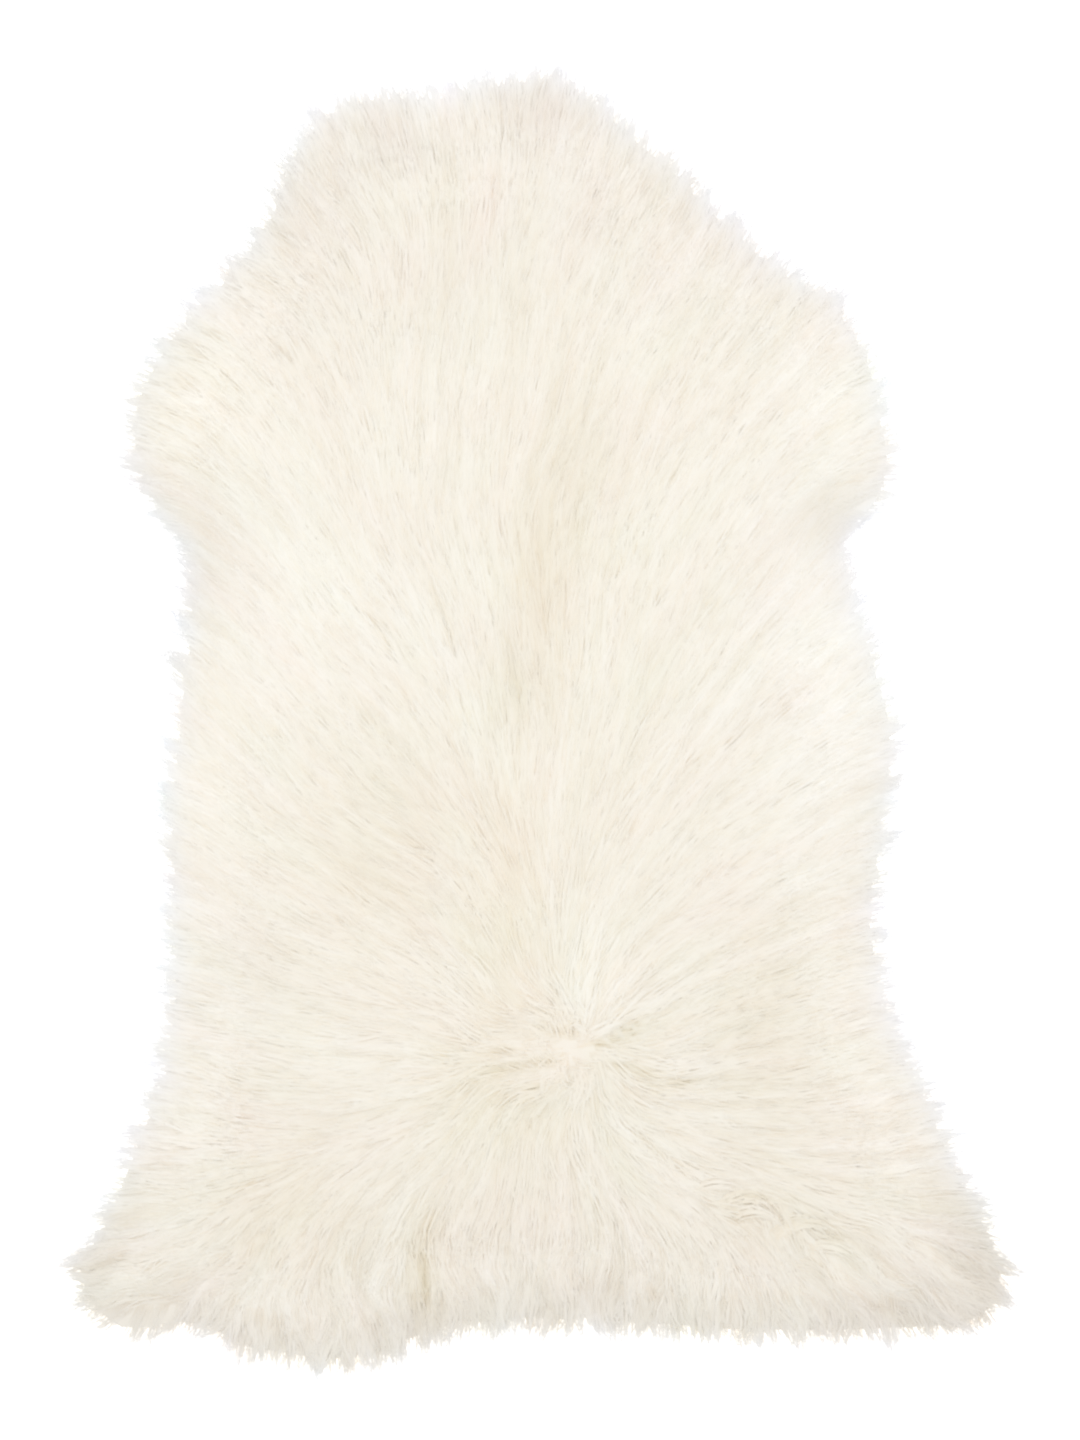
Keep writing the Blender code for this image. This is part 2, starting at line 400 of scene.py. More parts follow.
# %% Sway and swirls
SWAY = ((0.070, 7.0), (0.024, 4.0))  # lumps in the lay: (how far across, degrees)
SHAG_SWAY = (0.019, 26.0)
SHAG_FROM = (0.33, 0.44)  # how far down from the middle the wool starts to be shaggy, and is
CALM_WHORL = 0.7
SWIRLS = (
    # (x, y, radius, degrees)
    (0.150, -0.364, 0.016, -48.0),
    (0.186, -0.380, 0.015, 42.0),
    (0.225, -0.392, 0.014, -30.0),
    (-0.240, -0.418, 0.016, 30.0),
    (0.095, -0.330, 0.014, 25.0),
)


def turned(ways, angle):
    """Each way turned clockwise by its angle."""
    cos, sin = np.cos(angle), np.sin(angle)
    x, y = ways[..., 0], ways[..., 1]
    return np.stack((x * cos + y * sin, y * cos - x * sin), axis=-1)


def near_to(places, middle, radius):
    """1 in the middle of a round spot, about a third at its radius, and softly nothing farther out."""
    return np.exp(-(np.linalg.norm(places - middle, axis=-1) / radius) ** 2)


sway = sum(np.radians(degrees) * lumps(size) for size, degrees in SWAY)
shag = ramp(-grid[..., 1], *SHAG_FROM)
sway = sway + shag * np.radians(SHAG_SWAY[1]) * lumps(SHAG_SWAY[0])
for x, y, radius, degrees in SWIRLS:
    sway = sway + np.radians(degrees) * near_to(grid, (x, y), radius)
lay = turned(lay, sway * (1 - CALM_WHORL * near_whorl))
print("sway up to", round(np.degrees(np.abs(sway).max())), "degrees")

# %% [markdown]
# ## Locks
#
# Wool hangs together in locks. A map of random lumps, smeared along the lay, gives ridges and grooves
# that run with it: hardly any on the back, and deep ones toward the hind edge and round the whorl. A
# second map has the finer streaks that lie within the locks.

# %% Locks and streaks
WHORL_ROUGH = 0.9
LOCK_WIDTH = 0.014
LOCK_REACH = 0.034
STREAK_WIDTH = 0.007
STREAK_REACH = 0.048


def combed(field, reach, steps=8):
    """A map smeared along the lay, so that its lumps become streaks."""
    total = field
    for way in (reach / steps, -reach / steps):
        places = grid
        for _ in range(steps):
            places = places + way * unit(read(lay, places))
            total = total + read(field, places)
    return total / total.std() / 2


rough = np.maximum(shag, WHORL_ROUGH * near_to(grid, WHORL, WHORL_REACH))
locks = combed(lumps(LOCK_WIDTH), LOCK_REACH)
streaks = combed(lumps(STREAK_WIDTH), STREAK_REACH)
print("shaggy over", round(100 * (rough > 0.5).mean()), "% of the grid")

# %% [markdown]
# Round the whorl and at the hind edge the wool parts here and there, in short dark slits. A table has
# them, each as a line from one place to another, and they sink into the wool on both sides of that line.

# %% Partings
PARTINGS = (
    # (x and y where it starts, x and y where it ends, how deep)
    (0.000, -0.232, 0.027, -0.238, 0.8),  # round the whorl
    (-0.034, -0.250, -0.022, -0.250, 1.0),
    (-0.044, -0.266, 0.008, -0.258, 0.9),
    (-0.008, -0.277, 0.004, -0.279, 1.0),
    (0.050, -0.261, 0.086, -0.267, 0.8),
    (0.084, -0.268, 0.090, -0.284, 0.8),
    (0.098, -0.275, 0.114, -0.275, 0.8),
    (0.041, -0.247, 0.072, -0.233, 0.8),
    (0.002, -0.229, 0.012, -0.206, 0.6),
    (0.141, -0.366, 0.148, -0.376, 0.8),  # at the hind edge
    (0.150, -0.359, 0.172, -0.361, 0.7),
    (0.184, -0.381, 0.214, -0.379, 0.5),
    (0.218, -0.391, 0.239, -0.410, 0.5),
    (-0.090, -0.405, -0.086, -0.444, 1.3),
)
PARTING_WIDTH = 0.0032

parted = np.zeros(grid.shape[:2])
for x, y, to_x, to_y, deep in PARTINGS:
    gap = gap_to_span(grid, np.array((x, y)), np.array((to_x - x, to_y - y)))
    parted = np.maximum(parted, deep * np.exp(-(gap / PARTING_WIDTH) ** 2))
print(len(PARTINGS), "partings")

# %% [markdown]
# The locks and the partings go into the height. The bed is the height without the finest streaks, and the
# underwool will lie just under it. Thin wool at the rim has no relief of its own.

# %% Relief
LOCK_RELIEF = (0.0004, 0.0021)  # on the back, and where it is rough
GROOVES_DEEPER = 0.5  # keeps the locks' crests near the solid's top, and their grooves well under it
STREAK_RELIEF = 0.0004
PARTING_DEPTH = 0.0030
RELIEF_FROM = (0.004, 0.020)  # heights between which the relief comes in


def between(pair, share):
    """The first of a pair where the share is 0, the second where it is 1."""
    return pair[0] + (pair[1] - pair[0]) * share


relief = between(LOCK_RELIEF, rough)
thick = ramp(height, *RELIEF_FROM)
bed = height + relief * (locks - GROOVES_DEEPER) * thick - PARTING_DEPTH * parted
height = bed + STREAK_RELIEF * streaks * thick
print("wool up to", round(height.max() * 1000, 1), "mm high with its locks")

# %% [markdown]
# ## Soft patches
#
# The fleece is not one colour, and parts of it lie in shade. A table has the soft patches that stand out in
# the photograph: where they are, how far they reach, how much darker they are, and how much more cream. Less
# than zero is lighter or whiter. Some of the darkness is the wool's own, and some is painted shade: along
# the rims, and the darkening toward the hind edge. Darker patches are a little pinker too, and soft random
# lumps make other places so.

# %% Patches
PATCHES = (
    # (x, y, half width, half length, darker, more cream)
    (0.028, 0.200, 0.032, 0.050, 0.8, 0.5),  # along the spine
    (0.000, 0.105, 0.026, 0.060, 0.8, 0.8),
    (0.010, 0.080, 0.075, 0.240, 0.0, 0.25),
    (-0.015, 0.025, 0.022, 0.035, 0.9, 0.6),
    (-0.023, -0.138, 0.024, 0.085, 0.2, 0.8),
    (-0.042, -0.280, 0.055, 0.050, 0.3, 0.7),
    (-0.115, -0.100, 0.080, 0.080, 0.5, 0.6),  # left loin
    (0.166, -0.240, 0.040, 0.080, 0.8, 0.6),  # right of the whorl
    (-0.215, -0.190, 0.050, 0.045, 0.4, 0.0),
    (-0.205, -0.375, 0.065, 0.050, 0.3, 0.5),  # hind edge
    # rows at y -0.418 and lower: painted shade along the hind rim, and in a crease there
    (-0.088, -0.425, 0.016, 0.045, 0.5, 0.7),
    (-0.106, -0.455, 0.030, 0.020, 0.8, 0.0),
    (-0.020, -0.390, 0.130, 0.070, 0.3, 0.1),
    (0.050, -0.437, 0.045, 0.014, 0.7, 0.0),
    (0.200, -0.370, 0.090, 0.060, 0.3, 0.3),
    (0.270, -0.450, 0.040, 0.016, 0.6, 0.0),
    (0.325, -0.418, 0.035, 0.055, 1.2, 0.0),
    (-0.262, 0.110, 0.028, 0.035, 0.6, 0.0),  # armpits
    (0.235, 0.152, 0.030, 0.030, 0.7, 0.0),
    # painted shade just inside the right rim
    (0.330, -0.050, 0.030, 0.330, 0.3, 0.0),  # right rim
    (-0.180, 0.365, 0.050, 0.080, 0.7, 0.0),  # neck
    (0.190, 0.330, 0.070, 0.080, 0.6, 0.0),
    # this row and the next two: painted shade just inside the top rim
    (-0.115, 0.440, 0.050, 0.030, 1.4, -0.1),
    (0.000, 0.465, 0.050, 0.030, 1.5, -0.1),
    (0.080, 0.400, 0.120, 0.070, 0.7, -0.1),
    # lighter and whiter: painted light from the floor through a notch in the neck's fringe
    (-0.084, 0.468, 0.010, 0.018, -1.2, -0.8),
    (-0.070, 0.330, 0.060, 0.050, 0.5, 0.1),
    (-0.265, -0.030, 0.050, 0.130, -0.6, 0.0),  # pale flanks and shoulders
    (-0.176, 0.098, 0.060, 0.110, -0.5, -0.2),
    (0.222, 0.045, 0.060, 0.140, -0.6, -0.6),
    (-0.246, 0.228, 0.040, 0.035, -0.5, 0.0),
    (0.222, 0.249, 0.045, 0.050, -0.5, -0.2),
    (0.046, -0.190, 0.028, 0.045, -0.6, -0.3),
)
# painted shade, darker toward the hind edge
HIND_SHADE = 0.4
HIND_SHADE_FROM = (0.20, 0.46)  # how far down from the middle it starts, and is full
PATCH_PINK = 0.5
PINK_LUMPS = 0.7
PINK_WIDTH = 0.050
PINK_STREAK = (0.016, 0.024)  # how wide, and how far smeared along the lay

shade = HIND_SHADE * ramp(-grid[..., 1], *HIND_SHADE_FROM)
cream = np.zeros(grid.shape[:2])
for x, y, half_width, half_length, darker, creamier in PATCHES:
    spot = np.exp(-((grid[..., 0] - x) / half_width) ** 2 - ((grid[..., 1] - y) / half_length) ** 2)
    shade = shade + darker * spot
    cream = cream + creamier * spot
pink = PATCH_PINK * shade
pink = pink + PINK_LUMPS * lumps(PINK_WIDTH)
pink = pink + PINK_LUMPS * combed(lumps(PINK_STREAK[0]), PINK_STREAK[1])
print(len(PATCHES), "patches, shade from", round(shade.min(), 2), "to", round(shade.max(), 2))

# %% [markdown]
# Thin ends at the rim let the floor's light through and look whiter: painted light. Just inside them the
# wool is in its own shadow, painted, most of all at the hind edge. The grooves between locks, the gaps
# between streaks and the partings get painted shade, darker and warmer than the crests beside them.

# %% Rim, grooves and partings
RIM_WHITE_FROM = -0.008
RIM_WHITE_TO = (0.027, 0.014)  # how far inside the locks' ends, at the sides and at the hind edge
RIM_SHADE = (0.15, 1.3)  # at the sides, and at the hind edge
RIM_SHADE_IN = (-0.006, 0.008)
RIM_SHADE_OUT = (0.012, 0.055)
WHITE_UNSHADED = 0.7
SIDES_WHITER = 0.35
SIDES_REACH = (0.015, 0.120)
# painted shade in the grooves between locks, with a warm tint
GROOVE_SHADE = (0.08, 0.26)  # on the back, and where it is rough
GROOVE_WARM_SHADE = 0.7
STREAK_SHADE = 0.25
# painted shade in the partings
PARTING_SHADE = (0.8, 1.6)  # how much darker and more cream the wool is in a parting

rim_white = 1 - ramp(in_tips, RIM_WHITE_FROM, between(RIM_WHITE_TO, shag))
at_rim = ramp(in_tips, *RIM_SHADE_IN) * (1 - ramp(in_tips, *RIM_SHADE_OUT))
groove = between(GROOVE_SHADE, rough)
shade = shade + PARTING_SHADE[0] * parted + between(RIM_SHADE, shag) * at_rim
cream = cream + PARTING_SHADE[1] * parted
shade = shade * (1 - WHITE_UNSHADED * rim_white)
cream = (cream - SIDES_WHITER * (1 - ramp(in_tips, *SIDES_REACH))) * (1 - rim_white)
shade = shade - groove * locks - STREAK_SHADE * streaks
cream = cream - GROOVE_WARM_SHADE * groove * locks - STREAK_SHADE * streaks
print("shade from", round(shade.min(), 2), "to", round(shade.max(), 2), "with the grooves")

# %% [markdown]
# ## The hide
#
# A tanned skin about 2 mm thick, with its suede side on the floor. The photograph doesn't show it, so it
# is plain suede: a matt colour, a little sheen, and a fine nap in the bump.

# %% Suede
SUEDE = (0.62, 0.49, 0.35, 1.0)
SUEDE_ROUGHNESS = 0.92
NAP_SCALE = 900
NAP_DEPTH = 0.0004

suede, shader = plain_material("suede", SUEDE, SUEDE_ROUGHNESS)
shader.inputs["Sheen Weight"].default_value = 0.3
nodes, links = suede.node_tree.nodes, suede.node_tree.links
nap = nodes.new("ShaderNodeTexNoise")
nap.inputs["Scale"].default_value = NAP_SCALE
nap.inputs["Detail"].default_value = 3
coordinates = nodes.new("ShaderNodeTexCoord")
bump = nodes.new("ShaderNodeBump")
bump.inputs["Strength"].default_value = 0.25
bump.inputs["Distance"].default_value = NAP_DEPTH
links.new(coordinates.outputs["Object"], nap.inputs["Vector"])
links.new(nap.outputs["Fac"], bump.inputs["Height"])
links.new(bump.outputs["Normal"], shader.inputs["Normal"])
print("suede with", len(nodes), "nodes")

# %% [markdown]
# The hide was cut by hand along the edge that the solid gives. A Solidify modifier on a flat sheet would
# do, but filling the outline with triangles and drawing them up by the thickness gives a closed form at
# once.

# %% Hide
HIDE_THICKNESS = 0.002

bm = bmesh.new()
corners = [bm.verts.new((x, y, 0)) for x, y in hide_edge]
outline = [bm.edges.new(pair) for pair in zip(corners, corners[1:] + corners[:1])]
skin = bmesh.ops.triangle_fill(bm, edges=outline, use_beauty=True)["geom"]
skin = [part for part in skin if isinstance(part, bmesh.types.BMFace)]
lifted = bmesh.ops.extrude_face_region(bm, geom=skin)["geom"]
lifted = [part for part in lifted if isinstance(part, bmesh.types.BMVert)]
bmesh.ops.translate(bm, verts=lifted, vec=(0, 0, HIDE_THICKNESS))
bmesh.ops.recalc_face_normals(bm, faces=bm.faces)
hide = as_object(bm, "hide", suede)
print("hide", len(hide.data.polygons), "faces")

# %% [markdown]
# ## The wool's finish
#
# Each fibre is warm where it leaves the skin and bleached toward its end. Values on every corner say
# where on its strand it is, how bleached that strand is, how near the rim it hangs, which paints the
# floor's light through the thin ends, and how dark, how cream and how pink the fleece is there, the
# darkness partly painted shade. One node group turns the values into a colour, so the same finish
# serves the underwool and every strand.

# %% Colours of the wool
WOOL_STEPS = (
    # (share of the way from root to tip, colour)
    (0.00, (0.955, 0.888, 0.771, 1.0)),
    (0.45, (0.963, 0.918, 0.823, 1.0)),
    (0.80, (0.969, 0.931, 0.846, 1.0)),
    (1.00, (0.971, 0.937, 0.857, 1.0)),
)
LEAST_BLEACHED = (0.973, 0.966, 0.947, 1.0)
MOST_BLEACHED = (1.003, 1.004, 1.007, 1.0)
RIM_WHITE = (0.940, 0.952, 0.980, 1.0)
DARKER = (0.945, 0.940, 0.932, 1.0)  # what a patch of full darkness lets through
CREAMIER = (1.0, 0.986, 0.940, 1.0)
PINKER = (1.005, 0.994, 0.999, 1.0)
VALUES = ("along", "tone", "rim", "shade", "cream", "pink")

colours = bpy.data.node_groups.new("wool_colours", "ShaderNodeTree")
for name in VALUES:
    colours.interface.new_socket(name, in_out="INPUT", socket_type="NodeSocketFloat")
colours.interface.new_socket("Colour", in_out="OUTPUT", socket_type="NodeSocketColor")
print("the finish takes", len(VALUES), "values")

# %% [markdown]
# Inside the group the colour of the strand comes first, and each value then lets through a little less of
# one channel or another. Multiplying keeps them apart: a dark patch stays dark on a bleached strand too.

# %% From values to a colour
MIX_SOCKETS = (0, 6, 7)  # a mix node's share and its two colours, past its sockets for numbers
MIX_RESULT = 2

given = colours.nodes.new("NodeGroupInput")
result = colours.nodes.new("NodeGroupOutput")


def mixed(share, first, second, blend="MIX"):
    """A colour mix. Each of the three is a value, or the output that gives it."""
    mix = colours.nodes.new("ShaderNodeMix")
    mix.data_type = "RGBA"
    mix.blend_type = blend
    mix.clamp_factor = False
    for socket, value in zip(MIX_SOCKETS, (share, first, second)):
        if isinstance(value, bpy.types.NodeSocket):
            colours.links.new(value, mix.inputs[socket])
        else:
            mix.inputs[socket].default_value = value
    return mix.outputs[MIX_RESULT]


def let_through(share, colour, filter_colour):
    """The colour, and by that share what a filter lets through of it."""
    return mixed(share, colour, mixed(1.0, colour, filter_colour, "MULTIPLY"))


steps = colours.nodes.new("ShaderNodeValToRGB")
while len(steps.color_ramp.elements) < len(WOOL_STEPS):
    steps.color_ramp.elements.new(1.0)
for element, (share, colour) in zip(steps.color_ramp.elements, WOOL_STEPS):
    element.position = share
    element.color = colour
colours.links.new(given.outputs["along"], steps.inputs["Fac"])
bleach = mixed(given.outputs["tone"], LEAST_BLEACHED, MOST_BLEACHED)
toned = mixed(1.0, steps.outputs["Color"], bleach, "MULTIPLY")
rimmed = mixed(given.outputs["rim"], toned, RIM_WHITE)
shaded = let_through(given.outputs["shade"], rimmed, DARKER)
creamed = let_through(given.outputs["cream"], shaded, CREAMIER)
pinked = let_through(given.outputs["pink"], creamed, PINKER)
colours.links.new(pinked, result.inputs["Colour"])
print("wool colours with", len(colours.nodes), "nodes")

# %% [markdown]
# The shader stays outside the group. A little sheen stands for the fine fibres that catch the light.

# %% Combed wool
WOOL_ROUGHNESS = 0.72

wool, shader = plain_material("combed_wool", WOOL_STEPS[2][1], WOOL_ROUGHNESS)
shader.inputs["Specular IOR Level"].default_value = 0.25
shader.inputs["Sheen Weight"].default_value = 0.25
shader.inputs["Sheen Roughness"].default_value = 0.5
nodes, links = wool.node_tree.nodes, wool.node_tree.links
group = nodes.new("ShaderNodeGroup")
group.node_tree = colours
for name in VALUES:
    value = nodes.new("ShaderNodeAttribute")
    value.attribute_name = name
    links.new(value.outputs["Fac"], group.inputs[name])
links.new(group.outputs["Colour"], shader.inputs["Base Color"])
print("combed wool with", len(nodes), "nodes")

# %% [markdown]
# ## Underwool
#
# Under the combed ends the wool is so dense that the hide never shows. The solid's own top, a little
# lower, is that dense part, so the lower half of a copy is cut away. The rim of what is left is drawn out
# in rings for a part of the locks' length, so that it stays hidden under the strands.

# %% The solid's top, with a skirt
SKIRT = (0.18, 0.36, 0.54, 0.70)  # shares of the way along the locks
FINER = 2  # cuts across each edge


def draw_out(bm, ring, share, level):
    """Draw the ring's edges out to a new ring, part of the way along the locks."""
    edges = [bm.edges.get(pair) for pair in zip(ring, ring[1:] + ring[:1])]
    drawn = bmesh.ops.extrude_edge_only(bm, edges=edges)["geom"]
    copy_at = {tuple(part.co): part for part in drawn if isinstance(part, bmesh.types.BMVert)}
    copies = [copy_at[tuple(vert.co)] for vert in ring]
    for vert, root, out in zip(copies, hide_edge, edge_out):
        vert.co = (*(root + share * out), level)
    return copies


bm = cast.copy()
lower = [vert for vert in bm.verts if vert.co.z < EDGE_HEIGHT - SAME]
bmesh.ops.delete(bm, geom=lower, context="VERTS")
rim_at = {tuple(vert.co.xy.to_tuple(5)): vert for vert in bm.verts if at_level(vert, EDGE_HEIGHT)}
ring = [rim_at[Vector(corner).to_tuple(5)] for corner in hide_edge]
for share in SKIRT:
    ring = draw_out(bm, ring, share, EDGE_HEIGHT)
bmesh.ops.subdivide_edges(bm, edges=bm.edges, cuts=FINER, use_grid_fill=True)
print("top and skirt with", len(bm.verts), "corners")

# %% [markdown]
# Every corner then goes down to just under the bed of the wool. The rim is drawn straight down, and a flat
# underside just over the floor closes the form. Like every piece of wool, it gets the values that the
# finish reads.

# %% Underwool
UNDER_DEPTH = 0.0006
UNDER_LEAST = 0.002
SKIRT_UNDERSIDE = 0.0012
UNDER_ALONG = 0.55
UNDER_TONE = 0.5


def places_of(mesh):
    """Where a mesh's corners are, as an array."""
    places = np.empty(3 * len(mesh.vertices), np.float32)
    mesh.vertices.foreach_get("co", places)
    return places.reshape(-1, 3)


def set_values(mesh, **values):
    """Values for the wool's finish on each corner, with the fleece's colour and painted shade there."""
    places = places_of(mesh)
    values["shade"] = read(shade, places)
    values["cream"] = read(cream, places)
    values["pink"] = read(pink, places)
    for name, value in values.items():
        layer = mesh.attributes.new(name, "FLOAT", "POINT")
        layer.data.foreach_set("value", np.broadcast_to(value, len(places)).astype(np.float32))


places = np.array([vert.co.xy for vert in bm.verts])
for vert, level in zip(bm.verts, read(bed, places) - UNDER_DEPTH):
    vert.co.z = max(level, UNDER_LEAST)
open_edges = [edge for edge in bm.edges if edge.is_boundary]
drawn = bmesh.ops.extrude_edge_only(bm, edges=open_edges)["geom"]
underside = [part for part in drawn if isinstance(part, bmesh.types.BMEdge) and part.is_boundary]
for vert in {vert for edge in underside for vert in edge.verts}:
    vert.co.z = SKIRT_UNDERSIDE
bmesh.ops.triangle_fill(bm, edges=underside, use_beauty=True)
bmesh.ops.triangulate(bm, faces=bm.faces)
bmesh.ops.recalc_face_normals(bm, faces=bm.faces)
underwool = as_object(bm, "underwool", wool)
underwool.data.shade_smooth()
under_rim = read(rim_white, places_of(underwool.data))
set_values(underwool.data, along=UNDER_ALONG, tone=UNDER_TONE, rim=under_rim)
print("underwool", len(underwool.data.polygons), "triangles")

# %% [markdown]
# ## Strands
#
# A strand here is a few fibres that have stuck together: a closed three-sided blade, one to two
# millimetres wide. It leaves the underwool, lies down with the lay, and thins to a point. Curves with a
# bevel would do for a few, but tens of thousands are made far faster as one mesh from an array of lines,
# because blades with the same number of corners also have the same faces.

# %% A blade's corners and faces
BLADE_SHAPE = ((0.0, 0.05), (0.5, -0.03), (-0.5, -0.03))  # (across, up) of a blade's three corners
FULLNESS = ((0.0, 0.75), (0.35, 1.0), (0.7, 0.75), (1.0, 0.3))  # (share of the way, how wide)


def blade_corners(lines, width):
    """Three corners round every point of each line but its last, and then that point."""
    count, points = lines.shape[:2]
    rings = points - 1
    ahead = unit(np.gradient(lines, axis=1))
    across = unit(np.cross(ahead, (0.0, 0.0, 1.0)))
    up = np.cross(across, ahead)
    size = width[:, None] * np.interp(np.linspace(0, 1, points)[:rings], *zip(*FULLNESS))
    corners = []
    for a, b in BLADE_SHAPE:
        off = (size * a)[..., None] * across[:, :rings] + (size * b)[..., None] * up[:, :rings]
        corners.append(lines[:, :rings] + off)
    corners = np.stack(corners, axis=2).reshape(count, rings * 3, 3)
    return np.concatenate((corners, lines[:, -1:]), axis=1)


def blade_faces(rings):
    """One blade's faces, as its corners' numbers: three walls from ring to ring, the point and the root."""
    faces = []
    for ring in range(rings - 1):
        for side in range(3):
            a, b = 3 * ring + side, 3 * ring + (side + 1) % 3
            faces.append((a, b, b + 3, a + 3))
    last = 3 * (rings - 1)
    faces += [(last + side, last + (side + 1) % 3, 3 * rings) for side in range(3)]
    return faces + [(0, 2, 1)]


print("a blade of four rings has", len(blade_faces(4)), "faces")

# %% [markdown]
# Each blade has its own small cell in a colour map. Its three walls stand side by side in the cell,
# with a small gap between the faces, and the root's face lies below them.

# %% A blade's cell in the colour map
CELL_LEFT = 0.04
CELL_PITCH = 0.31  # from one wall to the next
WALL_WIDTH = 0.29
WALL_GAP = 0.005
WALL_ENDS = (0.14, 0.98)
ROOT_SPOTS = [(0.1, 0.02), (0.9, 0.02), (0.5, 0.11)]


def bake_layout(rings):
    """Where a blade's faces go in its cell, corner by corner."""
    ends = np.linspace(*WALL_ENDS, rings + 1)
    spots = []
    for ring in range(rings - 1):
        low, high = ends[ring] + WALL_GAP, ends[ring + 1] - WALL_GAP
        for side in range(3):
            left = CELL_LEFT + side * CELL_PITCH
            right = left + WALL_WIDTH
            spots += [(left, low), (right, low), (right, high), (left, high)]
    low = ends[-2] + WALL_GAP
    for side in range(3):
        left = CELL_LEFT + side * CELL_PITCH
        spots += [(left, low), (left + WALL_WIDTH, low), (left + WALL_WIDTH / 2, ends[-1])]
    return np.array(spots + ROOT_SPOTS)


print("a blade of four rings has", len(bake_layout(4)), "face corners")

# %% [markdown]
# All blades of a piece then go into one mesh at once: their corners, their faces, the colour map and the
# values for the finish.

# %% From lines to a piece
def blades(name, lines, width, tone):
    """A piece of closed blades along lines, an array of (blades, points from root to tip, 3)."""
    count, points = lines.shape[:2]
    rings = points - 1
    places = blade_corners(lines, width)
    faces = blade_faces(rings)
    sizes = np.array([len(face) for face in faces])
    order = np.array([corner for face in faces for corner in face])
    loops = (order + (3 * rings + 1) * np.arange(count)[:, None]).ravel()
    first = np.cumsum(sizes) - sizes
    starts = (first + sizes.sum() * np.arange(count)[:, None]).ravel()

    mesh = bpy.data.meshes.new(name)
    mesh.vertices.add(places.shape[0] * places.shape[1])
    mesh.vertices.foreach_set("co", places.astype(np.float32).ravel())
    mesh.loops.add(len(loops))
    mesh.loops.foreach_set("vertex_index", loops)
    mesh.polygons.add(len(starts))
    mesh.polygons.foreach_set("loop_start", starts)
    mesh.update(calc_edges=True)
    mesh.shade_flat()

    cells = math.ceil(math.sqrt(count))
    cell = np.stack((np.arange(count) % cells, np.arange(count) // cells), axis=-1)
    spots = (cell[:, None] + bake_layout(rings)) / cells
    mesh.uv_layers.new(name="OFBake").data.foreach_set("uv", spots.astype(np.float32).ravel())

    along = np.append(np.repeat(np.linspace(0, 1, points)[:-1], 3), 1.0)
    set_values(mesh, along=np.tile(along, count), tone=np.repeat(tone, 3 * rings + 1),
               rim=read(rim_white, places.reshape(-1, 3)))
    mesh.materials.append(wool)
    print(name, count, "strands,", int(sizes.sum() - 2 * len(sizes)) * count, "triangles")
    return placed(name, mesh)


# %% [markdown]
# ## Wisps
#
# Strands keep together in wisps. A wisp's line is walked out from its root, step by step, along the lay,
# and its length is cut where it would pass the ends of the locks. Combing a straight line afterwards would
# need the same steps, and walking gets its length right at once.

# %% How a wisp runs
FREE_STEPS = 14


def walk(start, length, turn, bend, steps):
    """Lines that run with the lay, each turned off it by an angle that grows by bend."""
    line = [start]
    for step in range(steps):
        way = turned(unit(read(lay, line[-1])), turn + bend * step / steps)
        line.append(line[-1] + way * (length / steps)[:, None])
    return np.stack(line, axis=1)


def free_length(start, longest, turn, bend, ragged):
    """How long each wisp can be before it passes the locks' ends, less its ragged part."""
    free = read(in_tips, walk(start, longest, turn, bend, FREE_STEPS)) - ragged[:, None]
    out = free < 0
    first = np.where(out.any(axis=1), out.argmax(axis=1), FREE_STEPS)
    first = np.maximum(first, 1)
    rows = np.arange(len(start))
    before, after = free[rows, first - 1], free[rows, first]
    share = np.where(after < 0, before / np.maximum(before - after, 1e-6), 1)
    return longest * (first - 1 + np.clip(share, 0, 1)) / FREE_STEPS


example = walk(np.array([(0.1, 0.0)]), np.array([0.06]), 0, 0, FREE_STEPS)[0]
print("60 mm of wool from", example[0], "ends at", example[-1].round(3))

# %% [markdown]
# A wisp is then split into strands side by side, which come closer and wave a little toward their ends.
# Every strand takes its height from the map at its own place: a height borrowed from the middle of its
# wisp would leave it floating or buried where the wool slopes. Where its straight parts would cut into a
# crest, they are raised.

# %% From a wisp to its strands
PLACE_JITTER = 0.25  # how far a strand stands off its even place, in half widths of the wisp
NARROW_FROM = 0.3  # share of the way where a wisp starts to narrow
WAVE_RATE = 1.3
WAVE_LAG = 0.5  # how far the wave of a wisp's outer strands is behind that of its middle, in radians
FULL_TURN = 6.28
END_SHIFT = (-0.06, 0.14)  # how far ends fall short of the wisp's, and how unevenly, as shares of its run
MOST_SHIFT = 0.10
STRAND_UNEVEN = 0.00007
CROWN = 0.0005  # how much lower a wisp's outer strands leave the underwool
LEAST_HEIGHT = 0.0009
UNEVEN_REST = 0.0012  # how unevenly ends lie on the floor


def clear(line):
    """Heights on the wool's top for a line's points, raised where its straight parts would cut into it."""
    surface = read(height, line)
    middle = read(height, (line[:, :-1] + line[:, 1:]) / 2)
    cut = np.maximum(middle - (surface[:, :-1] + surface[:, 1:]) / 2, 0)
    return surface + np.maximum(np.pad(cut, ((0, 0), (0, 1))), np.pad(cut, ((0, 0), (1, 0))))


